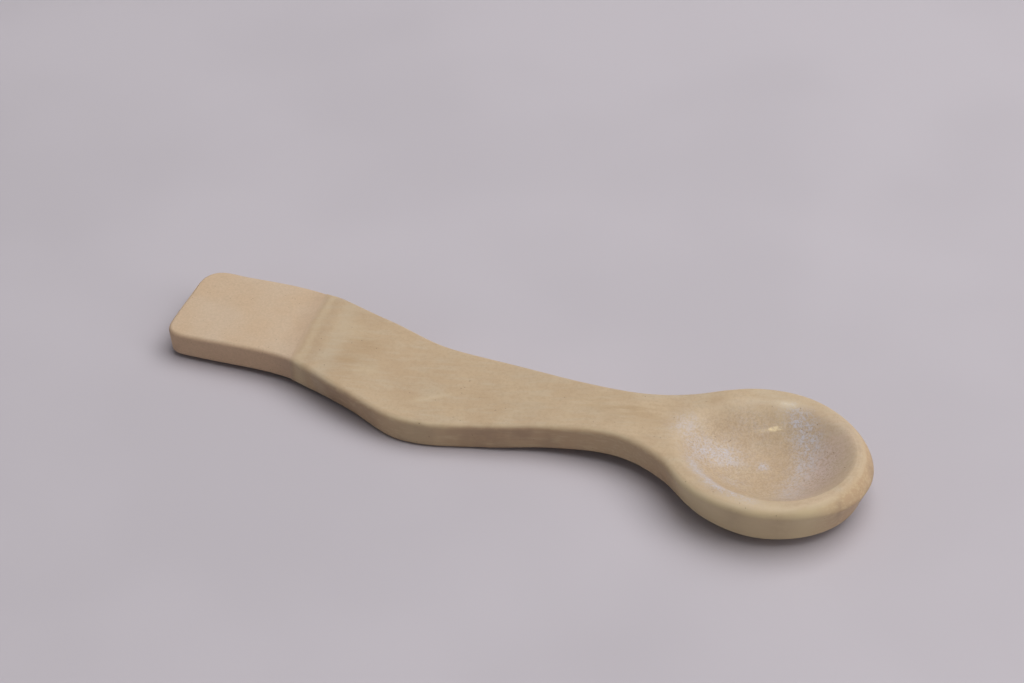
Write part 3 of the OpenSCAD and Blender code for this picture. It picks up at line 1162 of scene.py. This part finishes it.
# The glaze's spot marks: most are its own tones, and those noted below are painted light or shade.
BLOOM = SpotMark("bloom", (
    Spot(-7.6, 0.8, 3, 2, 12),
    Spot(-10.8, -1.4, 2.4, 2.4, 0, 0.6),
    Spot(-1.2, 1.4, 1.1, 0.9, 0, 0.95),
    Spot(4.9, 6.6, 3, 2.2, -60, 0.85),
    Spot(1.6, 10.2, 2.8, 1.7, -20, 0.7),
    Spot(2.4, 8.6, 1.6, 1.6, 0, 0.5),
    Spot(5.4, 2.2, 2.6, 2, 80, 0.65),
    Spot(5, -3.4, 3.2, 2, -80, 0.55),
    Spot(-10.2, -5.6, 2.4, 1.3, -40, 0.7),
    Spot(-9, -8, 2.2, 1.1, -45, 0.7),
    Spot(-6.4, -9.7, 2.8, 1.2, -35),
    Spot(-2, -11.8, 3.6, 1.2, -14),
    Spot(-14.4, 1.8, 2.2, 2.8, 0, 0.6),
    Spot(-5, 7.4, 3.6, 2, 10, 0.2),
    Spot(-4.4, -4.4, 2.6, 1.6, -15, 0.3),
))
GLOSS = SpotMark("gloss", (
    Spot(-1.5, 7.9, 3.4, 0.32, 22),
    Spot(-0.5, 11.5, 1.6, 0.8, 10, 0.8),
))
TAN = SpotMark("tan", (
    Spot(-68, 0, 17, 12, 0, 0.55),
    Spot(-57, -3, 9, 6, 0, 0.2),
    Spot(-73.4, -3.2, 2.2, 1.4, 30, 0.45),
    Spot(-70.7, 1.7, 2.6, 1.5, 0, 0.45),
    Spot(1, 3.4, 2.2, 1.6, 0, 0.5),
    Spot(-5.5, -4.3, 2.8, 1.3, -20, 0.5),
))
RUSTY = SpotMark("rusty", (
    Spot(-25, 2.4, 7, 2.6, 0, 0.85),
    Spot(-70.9, -2.7, 3.2, 1.6, 15),
    Spot(-70.6, 1.8, 3.2, 1.8, 15, 0.8),
    Spot(-48.5, -0.9, 3, 1.4, 20, 0.7),
    Spot(-42, -2, 14, 5, 18, 0.1),
))
# Painted shade on the near rim's rounded outer edge, laid in the walls' tone.
RIM_SHADE = SpotMark("rim_shade", (
    Spot(2, -15.3, 9, 2.2, 2),
))
# Paler glaze on the handle's top, and painted highlights in the bowl: along the near rim's crest,
# beside the glint in the hollow and on the far lip.
PALE_AND_HIGHLIGHT_TOP = SpotMark("pale_and_highlight_top", (
    # Painted highlight along the near rim's crest.
    Spot(2.5, -13.6, 10, 1.2, 4, 0.55),
    Spot(-2, 13.4, 9, 2.2, 0, 0.2),
    # Painted highlights: a pale patch beside the glint, and the warm glow on the far lip.
    Spot(-0.9, 9.6, 1.2, 1.6, 20, 0.3),
    Spot(-0.3, 11.7, 2, 0.8, 10, 0.9),
    Spot(-55.5, -5.3, 3.4, 0.5, 38, 0.45),
    Spot(-67.8, -3.6, 2.6, 1.2, 10, 0.3),
    Spot(-74.1, 4.4, 2.4, 2.6, 60, 0.2),
))
BLUSH = SpotMark("blush", (
    Spot(8.8, 1.6, 3.4, 7),
    Spot(6.5, -6, 3, 3, 0, 0.5),
))
# Greyer, paler glaze on the walls, and painted light that lightens the bowl's walls and the knee's.
LIT_AND_PALE_WALL = SpotMark("lit_and_pale_wall", (
    Spot(-55.5, -11.5, 6.5, 3, 0, 0.4),
    Spot(-23, -5, 7, 3, 0, 0.25),
    Spot(-8.5, -12, 5, 3, -30, 0.5),
    Spot(-78.6, -5.6, 1.6, 2, 0, 0.8),
    Spot(-1, -13.5, 12, 5),
    Spot(10, -11.5, 4, 4, 0, 0.6),
), on_wall=True)
# Brown spots on the bowl's walls, and painted shade that darkens the handle's slanted and middle
# walls.
BROWN_AND_SHADED_WALL = SpotMark("brown_and_shaded_wall", (
    Spot(-0.6, -15.1, 1.8, 1.4, 0, 0.4),
    Spot(6.9, -13.8, 2.4, 1.6, 25, 0.35),
    Spot(-64, -11.4, 2, 1.5, -40, 0.5),
    Spot(14.1, -7.6, 0.5, 0.6, 0, 0.7),
    Spot(-14.6, -9.8, 3.4, 1.6, -40, 0.3),
    # Painted shade on the handle's slanted wall and on its middle wall.
    Spot(-71, -8.6, 4.6, 2.5, -30),
    Spot(-42, -9.5, 9, 3),
), on_wall=True)
SPOT_MARKS: tuple[SpotMark, ...] = (
    BLOOM, GLOSS, TAN, RUSTY, BLUSH, RIM_SHADE, PALE_AND_HIGHLIGHT_TOP, LIT_AND_PALE_WALL, BROWN_AND_SHADED_WALL,
)


@dataclass(frozen=True)
class CreamGlaze:
    """Satin cream-tan glaze with soft streaks along the handle and pale crystals in the bowl.

    Attributes:
        body: its main tone.
        ochre: the yellower tone of its thicker streaks.
        pale: the greyer, paler tone of its thin streaks.
        grain: the tone of the fine darker grain all over it, stronger in the hollow.
        rust: the redder tone of its few rusty streaks.
        brown: the tone of its brown blotches, the band beside the glaze line and painted wall shade.
        wall: the tone of the walls, where it ran thin, also laid as painted shade on the near rim.
        ashen: the greyer tone of the walls' fine lines and pale places, these partly painted light.
        thin: the tone of the upper edges, where it broke pale, and of the painted highlights in the
            bowl.
        bared: the tone of the clay that shows through its outermost edge.
        blush: the pinker tone of the hollow's steep side by the tip.
        crystal: the tone of the crystals.
        pinhole: the tone inside its tiny holes.
        rough: between which roughnesses it lies.
        wet_rough: the roughness of its wetter places.
        shine: its specular level.
    """

    body: Tone = screen(188, 165, 136)
    ochre: Tone = screen(173, 147, 117)
    pale: Tone = screen(184, 168, 145)
    grain: Tone = screen(157, 132, 104)
    rust: Tone = screen(168, 141, 107)
    brown: Tone = screen(155, 129, 104)
    wall: Tone = screen(183, 153, 120)
    ashen: Tone = screen(205, 186, 149)
    thin: Tone = screen(197, 178, 149)
    bared: Tone = screen(185, 160, 137)
    blush: Tone = screen(193, 172, 163)
    crystal: Tone = screen(190, 188, 199)
    pinhole: Tone = screen(96, 76, 58)
    rough: tuple[float, float] = (0.46, 0.56)
    wet_rough: float = 0.19
    shine: float = 0.45

    def _streaks(self, b: Brush) -> None:
        """Lays the tones of the flat: clouds, and streaks that run along the handle.

        Args:
            b: the glaze's brush.
        """
        b.lay(self.ochre, b.between(b.noise(0.16, 4.0, 0.55), 0.38, 0.66), 0.5)
        b.lay(self.ochre, b.mark(TAN.name))
        b.lay(self.blush, b.mark(BLUSH.name))
        b.lay(self.pale, b.between(b.noise(0.3, 3.0, 0.6, 0.5, 18.0, 31.0), 0.5, 0.66), 0.35)
        flat = b.between(b.mark(Mark.DISH), 0.2, 0.0, 0.35, 1.0)
        fine = b.between(b.noise(1.4, 4.0, 0.6, 0.16, 18.0, 2.0), 0.46, 0.66)
        b.lay(self.pale, flat, fine, 0.36)
        warm = b.between(b.noise(0.9, 4.0, 0.6, 0.2, 18.0, 21.0), 0.5, 0.7)
        b.lay(self.ochre, flat, warm, 0.36)
        streak = b.between(b.noise(0.8, 4.0, 0.6, 0.16, 12.0, 33.0), 0.36, 0.56)
        b.lay(self.rust, b.mark(RUSTY.name), streak, 0.8)
        b.lay(self.grain, b.between(b.noise(2.2, 4.0, 0.75, shift=27.0), 0.46, 0.6), 0.24)
        speckle = b.between(b.noise(3.4, 2.0, 0.7, shift=41.0), 0.44, 0.58)
        b.lay(self.grain, speckle, b.between(b.mark(Mark.DISH), 0.03, 0.3), 0.5)

    def _walls(self, b: Brush) -> None:
        """Lays the walls' browner tones and fine lines over the colour, with their spots.

        Args:
            b: the glaze's brush.
        """
        wall = b.mark(Mark.WALL)
        # The wall tone, and at half strength painted shade on the near rim's rounded outer edge.
        b.lay(self.wall, b.plus(b.times(wall, 0.85), b.times(b.mark(RIM_SHADE.name), 0.5)))
        lines = b.between(b.noise(2.4, 4.0, 0.65, 0.08, 18.0, 11.0), 0.46, 0.64)
        b.lay(self.ashen, wall, lines, 0.42)
        blotch = b.between(b.noise(0.14, 3.0, 0.5, shift=9.0), 0.52, 0.66)
        b.lay(self.brown, blotch, b.plus(b.times(wall, 0.45), 0.1))
        # Paler, greyer walls: in part the glaze's tone, in part painted light on the bowl and the
        # knee.
        b.lay(self.ashen, b.mark(LIT_AND_PALE_WALL.name), 0.9)
        ragged = b.between(b.noise(0.6, 3.0, 0.6, shift=15.0), 0.3, 0.6, 0.4, 1.0)
        # Brown spots on the bowl's walls; on the handle's walls this brown is painted shade.
        b.lay(self.brown, b.mark(BROWN_AND_SHADED_WALL.name), ragged, 0.75)

    def _borders(self, b: Brush) -> None:
        """Lays the pale upper edge, and the stripes and bared edge at the glaze line.

        Args:
            b: the glaze's brush.
        """
        broken = b.between(b.noise(0.3, 3.0, 0.6, shift=4.0), 0.35, 0.65, 0.25, 1.0)
        edge = b.times(b.between(b.mark(Mark.EDGE), 0.6, 1.0), broken, 0.55)
        # The pale edge, and the spots laid with it, which in the bowl are painted highlights.
        b.lay(self.thin, b.plus(edge, b.mark(PALE_AND_HIGHLIGHT_TOP.name)))
        ragged = b.times(b.plus(b.noise(0.3, 3.0), -0.5), 1.6)
        past = b.plus(b.mark(Mark.PAST), ragged)
        stripes = ((-0.8, 0.3, 1.2, 0.3, self.brown), (0.6, 1.5, 2.6, 0.24, self.thin),
                   (1.8, 3.0, 4.6, 0.2, self.brown), (3.6, 5.6, 8.6, 0.35, self.pale))
        for start, middle, end, strength, tone in stripes:
            b.lay(tone, b.between(past, start, middle), b.between(past, end, middle), strength)
        b.lay(self.bared, b.between(past, 1.0, -0.2), 0.6)

    def material(self) -> bpy.types.Material:
        """Builds the glaze: its tones, then crystals, pinholes, gloss and a faint orange skin.

        Returns:
            The material.
        """
        b = Brush("cream_glaze", self.body)
        for layers in (self._streaks, self._walls, self._borders):
            layers(b)
        fine = b.between(b.noise(3.4, 3.0, 0.7, shift=6.0), 0.44, 0.56)
        inside = b.times(b.between(b.mark(Mark.DISH), 0.05, 0.5), 0.08)
        cloud = b.between(b.noise(0.8, 4.0, 0.7, shift=16.0), 0.36, 0.6, 0.35, 1.0)
        crystals = b.times(
            b.plus(b.mark(BLOOM.name), inside), cloud, b.plus(b.times(fine, 0.75), 0.25)
        )
        b.lay(self.crystal, crystals, 0.92)
        holes = b.dots(1.1, 0.14, 0.07, b.noise(0.55, 0.0, shift=12.0))
        b.lay(self.pinhole, holes, 0.55)
        gloss = b.between(b.noise(0.4, 3.0, shift=7.0), 0.3, 0.7, *self.rough)
        broken = b.between(b.noise(0.9, 4.0, 0.7, shift=18.0), 0.4, 0.56, 0.5, 1.0)
        wet = b.times(b.between(b.mark(GLOSS.name), 0.2, 0.6), broken)
        rough = b.plus(gloss, b.times(crystals, 0.2))
        roughness = b.plus(rough, b.times(wet, b.plus(b.times(rough, -1.0), self.wet_rough)))
        skin = b.relief(b.noise(0.9, 2.0, 0.5, shift=1.0), 0.03)
        grit = b.relief(b.times(crystals, b.noise(3.2, 2.0, 0.6)), 0.03, skin)
        return b.finish(roughness, b.relief(b.times(holes, -1.0), 0.05, grit), self.shine)


def put(name: str, data: bpy.types.ID) -> bpy.types.Object:
    """Puts an object into the scene.

    Args:
        name: its name.
        data: its mesh, lamp or camera.

    Returns:
        The object.
    """
    made = bpy.data.objects.new(name, data)
    bpy.context.scene.collection.objects.link(made)
    return made


def aim(thing: bpy.types.Object, place: Vector, look: Vector) -> None:
    """Stands a lamp or a camera somewhere and turns it.

    Args:
        thing: the lamp or the camera.
        place: where it stands, in metres.
        look: the direction in which it looks.
    """
    thing.location = place
    thing.rotation_mode = "QUATERNION"
    thing.rotation_quaternion = look.to_track_quat("-Z", "Y")


@dataclass(frozen=True)
class SpoonPiece:
    """One piece of the spoon: a closed surface in a finish.

    Attributes:
        name: what the piece is called.
        node: the solid that it stands for.
        slot: the name of its material slot, which is not used.
        surface: its points, faces and marks.
        sharp: angle between two faces above which their edge shows, in degrees.
    """

    name: str
    node: str
    slot: str
    surface: Surface
    sharp: float = 60.0

    def build(self, material: bpy.types.Material) -> None:
        """Makes the mesh with its marks, and hands it to the frame.

        Args:
            material: the finish of the piece.
        """
        mesh = bpy.data.meshes.new(self.name)
        mesh.from_pydata((self.surface.points * MILLIMETRE).tolist(), [], self.surface.faces)
        mesh.polygons.foreach_set("use_smooth", np.ones(len(mesh.polygons), dtype=bool))
        for column, mark in enumerate(Mark):
            self._carry(mesh, mark, self.surface.marks[:, column])
        for spot_mark in SPOT_MARKS:
            self._carry(mesh, spot_mark.name, spot_mark.values(self.surface))
        mesh.materials.append(material)
        mesh.set_sharp_from_angle(angle=math.radians(self.sharp))
        mesh.update()
        piece = put(self.name, mesh)
        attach(piece, "root")
        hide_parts(self.node)
        LOG.info("%s: %d points, %d faces", self.name, len(mesh.vertices), len(mesh.polygons))

    @staticmethod
    def _carry(mesh: bpy.types.Mesh, name: str, values: Grid) -> None:
        """Stores one value a point under a name that a material can read."""
        layer = mesh.attributes.new(name, "FLOAT", "POINT")
        layer.data.foreach_set("value", np.ascontiguousarray(values, dtype=np.float32))


@dataclass(frozen=True)
class Lamp:
    """A soft rectangular lamp that looks at the spoon.

    Attributes:
        name: its name.
        way: the direction in which it stands.
        distance: how far away, in metres.
        size: its side, in metres.
        power: its power, in watts.
        tone: its colour.
        stretch: how much wider than high it is.
        glints_only: true if it shows in gloss and doesn't light what is matt.
    """

    name: str
    way: tuple[float, float, float]
    distance: float
    size: float
    power: float
    tone: Tone = (1.0, 1.0, 1.0)
    stretch: float = 1.0
    glints_only: bool = False

    def build(self, target: Vector) -> None:
        """Hangs the lamp and turns it.

        Args:
            target: where it points, in metres.
        """
        data = bpy.data.lights.new(self.name, "AREA")
        data.shape = "RECTANGLE"
        data.size, data.size_y = self.size * self.stretch, self.size
        data.energy, data.color = self.power, self.tone
        lamp = put(self.name, data)
        lamp.visible_diffuse = not self.glints_only
        back = Vector(self.way).normalized()
        aim(lamp, target + back * self.distance, -back)


@dataclass(frozen=True)
class Studio:
    """The pale table, the soft light and the camera.

    Attributes:
        table_tone: colour of the table.
        cloud_share: brightness of the clouds in it beside that colour.
        table_rough: between which roughnesses it lies.
        table_shine: its specular level.
        table_half: half the table's side, in metres.
        sky_tone: colour of the light all round.
        sky_strength: strength of that light on the object.
        eye: where the camera stands, in millimetres.
        yaw, pitch: how far it looks to the left of +Y, and down, in degrees.
        lens, sensor: its focal length and the width of its sensor, in millimetres.
        nearest, farthest: between which distances it sees, in metres.
        target: where the lamps point, in metres.
    """

    table_tone: Tone = screen(191, 185, 193)
    cloud_share: float = 0.95
    table_rough: tuple[float, float] = (0.85, 0.95)
    table_shine: float = 0.2
    table_half: float = 0.8
    sky_tone: Tone = (0.97, 0.98, 1.0)
    sky_strength: float = 0.2
    eye: tuple[float, float, float] = (95.09, -340.73, 325.65)
    yaw: float = 22.15
    pitch: float = 40.0
    lens: float = 105.47
    sensor: float = 36.0
    nearest: float = 0.01
    farthest: float = 20.0
    target: tuple[float, float, float] = (-0.044, 0.0, 0.004)
    lamps: tuple[Lamp, ...] = (
        Lamp("ceiling", (0.28, 0.2, 0.94), 1.0, 1.1, 10.9, (1.0, 0.99, 0.96)),
        Lamp("side_window", (0.9, 0.0, 0.43), 1.1, 0.5, 1.45, (1.0, 0.98, 0.95)),
        Lamp("left_candle", (0.02, -0.5, 0.86), 0.9, 0.03, 0.75, (1.0, 0.86, 0.5), 2.0, True),
        Lamp("right_candle", (0.16, -0.47, 0.87), 0.9, 0.03, 0.75, (1.0, 0.86, 0.5), 2.5, True),
        Lamp("bulb", (-0.12, 0.12, 0.97), 0.9, 0.03, 0.15, (1.0, 0.86, 0.5), 1.0, True),
    )

    def build(self) -> None:
        """Builds table, sky, lamps and camera, and shows colours plainly."""
        bpy.context.scene.view_settings.view_transform = "Standard"
        self._table()
        self._sky()
        for lamp in self.lamps:
            lamp.build(Vector(self.target))
        self._camera()

    def _table(self) -> None:
        """A wide plane at height zero with a very faint cloudiness in its tone."""
        mesh = bpy.data.meshes.new("table")
        corners = [(x * self.table_half, y * self.table_half, 0.0)
                   for x, y in ((-1, -1), (1, -1), (1, 1), (-1, 1))]
        mesh.from_pydata(corners, [], [[0, 1, 2, 3]])
        b = Brush("table_white", self.table_tone)
        darker = tuple(self.cloud_share * v for v in self.table_tone)
        b.lay(darker, b.between(b.noise(0.02, 2.0), 0.35, 0.65))
        rough = b.between(b.noise(0.05, 2.0), 0.0, 1.0, *self.table_rough)
        mesh.materials.append(
            b.finish(rough, b.relief(b.noise(0.8, 2.0), 0.01), self.table_shine)
        )
        table = put("table", mesh)
        table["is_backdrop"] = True

    def _sky(self) -> None:
        """Plain light from all sides, which the camera, gloss and glass see as white."""
        world = bpy.data.worlds.new("sky")
        bpy.context.scene.world = world
        world.use_nodes = True
        sky = Wiring(world.node_tree)
        seen = sky.node("LightPath", {}, "Is Camera Ray")
        for ray in ("Is Glossy Ray", "Is Transmission Ray"):
            other = sky.node("LightPath", {}, ray)
            seen = sky.node("Math", {0: seen, 1: other}, operation="MAXIMUM")
        strength = sky.node(
            "MapRange", {"Value": seen, "To Min": self.sky_strength, "To Max": 1.0}
        )
        tone = (*self.sky_tone, 1.0)
        sky.feed(world.node_tree.nodes["Background"], {"Color": tone, "Strength": strength})

    def _camera(self) -> None:
        """Stands the camera at the eye and turns it by its yaw and pitch."""
        data = bpy.data.cameras.new("camera")
        data.sensor_width, data.lens = self.sensor, self.lens
        data.clip_start, data.clip_end = self.nearest, self.farthest
        yaw, pitch = math.radians(self.yaw), math.radians(self.pitch)
        look = Vector((
            -math.sin(yaw) * math.cos(pitch), math.cos(yaw) * math.cos(pitch), -math.sin(pitch),
        ))
        camera = put("camera", data)
        aim(camera, Vector(self.eye) * MILLIMETRE, look)
        bpy.context.scene.camera = camera


@dataclass
class Spoon:
    """The whole spoon: its sizes, its cutting, its marks and its hand-made unevenness."""

    sizes: SpoonSizes = field(default_factory=SpoonSizes)
    fine: Fineness = field(default_factory=Fineness)
    fading: Fading = field(default_factory=Fading)
    waves: HandWaves = field(default_factory=HandWaves)

    def build(self, low: Grid, high: Grid) -> None:
        """Builds the clay body and the glaze coat.

        Args:
            low: lowest corner of the solids' box, in millimetres.
            high: highest corner of it.
        """
        own, under = (
            SpoonSkin(self.sizes, self.fine, self.fading, glazed) for glazed in (True, False)
        )
        clay = weld(under.skin(0) + [under.end_patch()])
        inner = [patch.turned() for patch in under.skin(under.line_row)]
        glaze = weld(own.skin(own.line_row) + inner + [own.line_patch(under)])
        for surface in (clay, glaze):
            surface.points = self.waves.moved(surface.points)
        pull_into_box([clay, glaze], low, high)
        SpoonPiece("spoon_clay", "clay_body", "bare_clay", clay).build(BareClay().material())
        SpoonPiece("spoon_glaze", "glaze_coat", "glaze", glaze).build(CreamGlaze().material())


def main() -> None:
    """Loads the frame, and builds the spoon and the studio."""
    logging.basicConfig(level=logging.INFO, format="%(name)s: %(message)s")
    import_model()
    solid_box = [list(corner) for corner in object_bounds()]
    Spoon().build(*(np.array(corner) / MILLIMETRE for corner in solid_box))
    Studio().build()


if __name__ == "__main__":
    main()
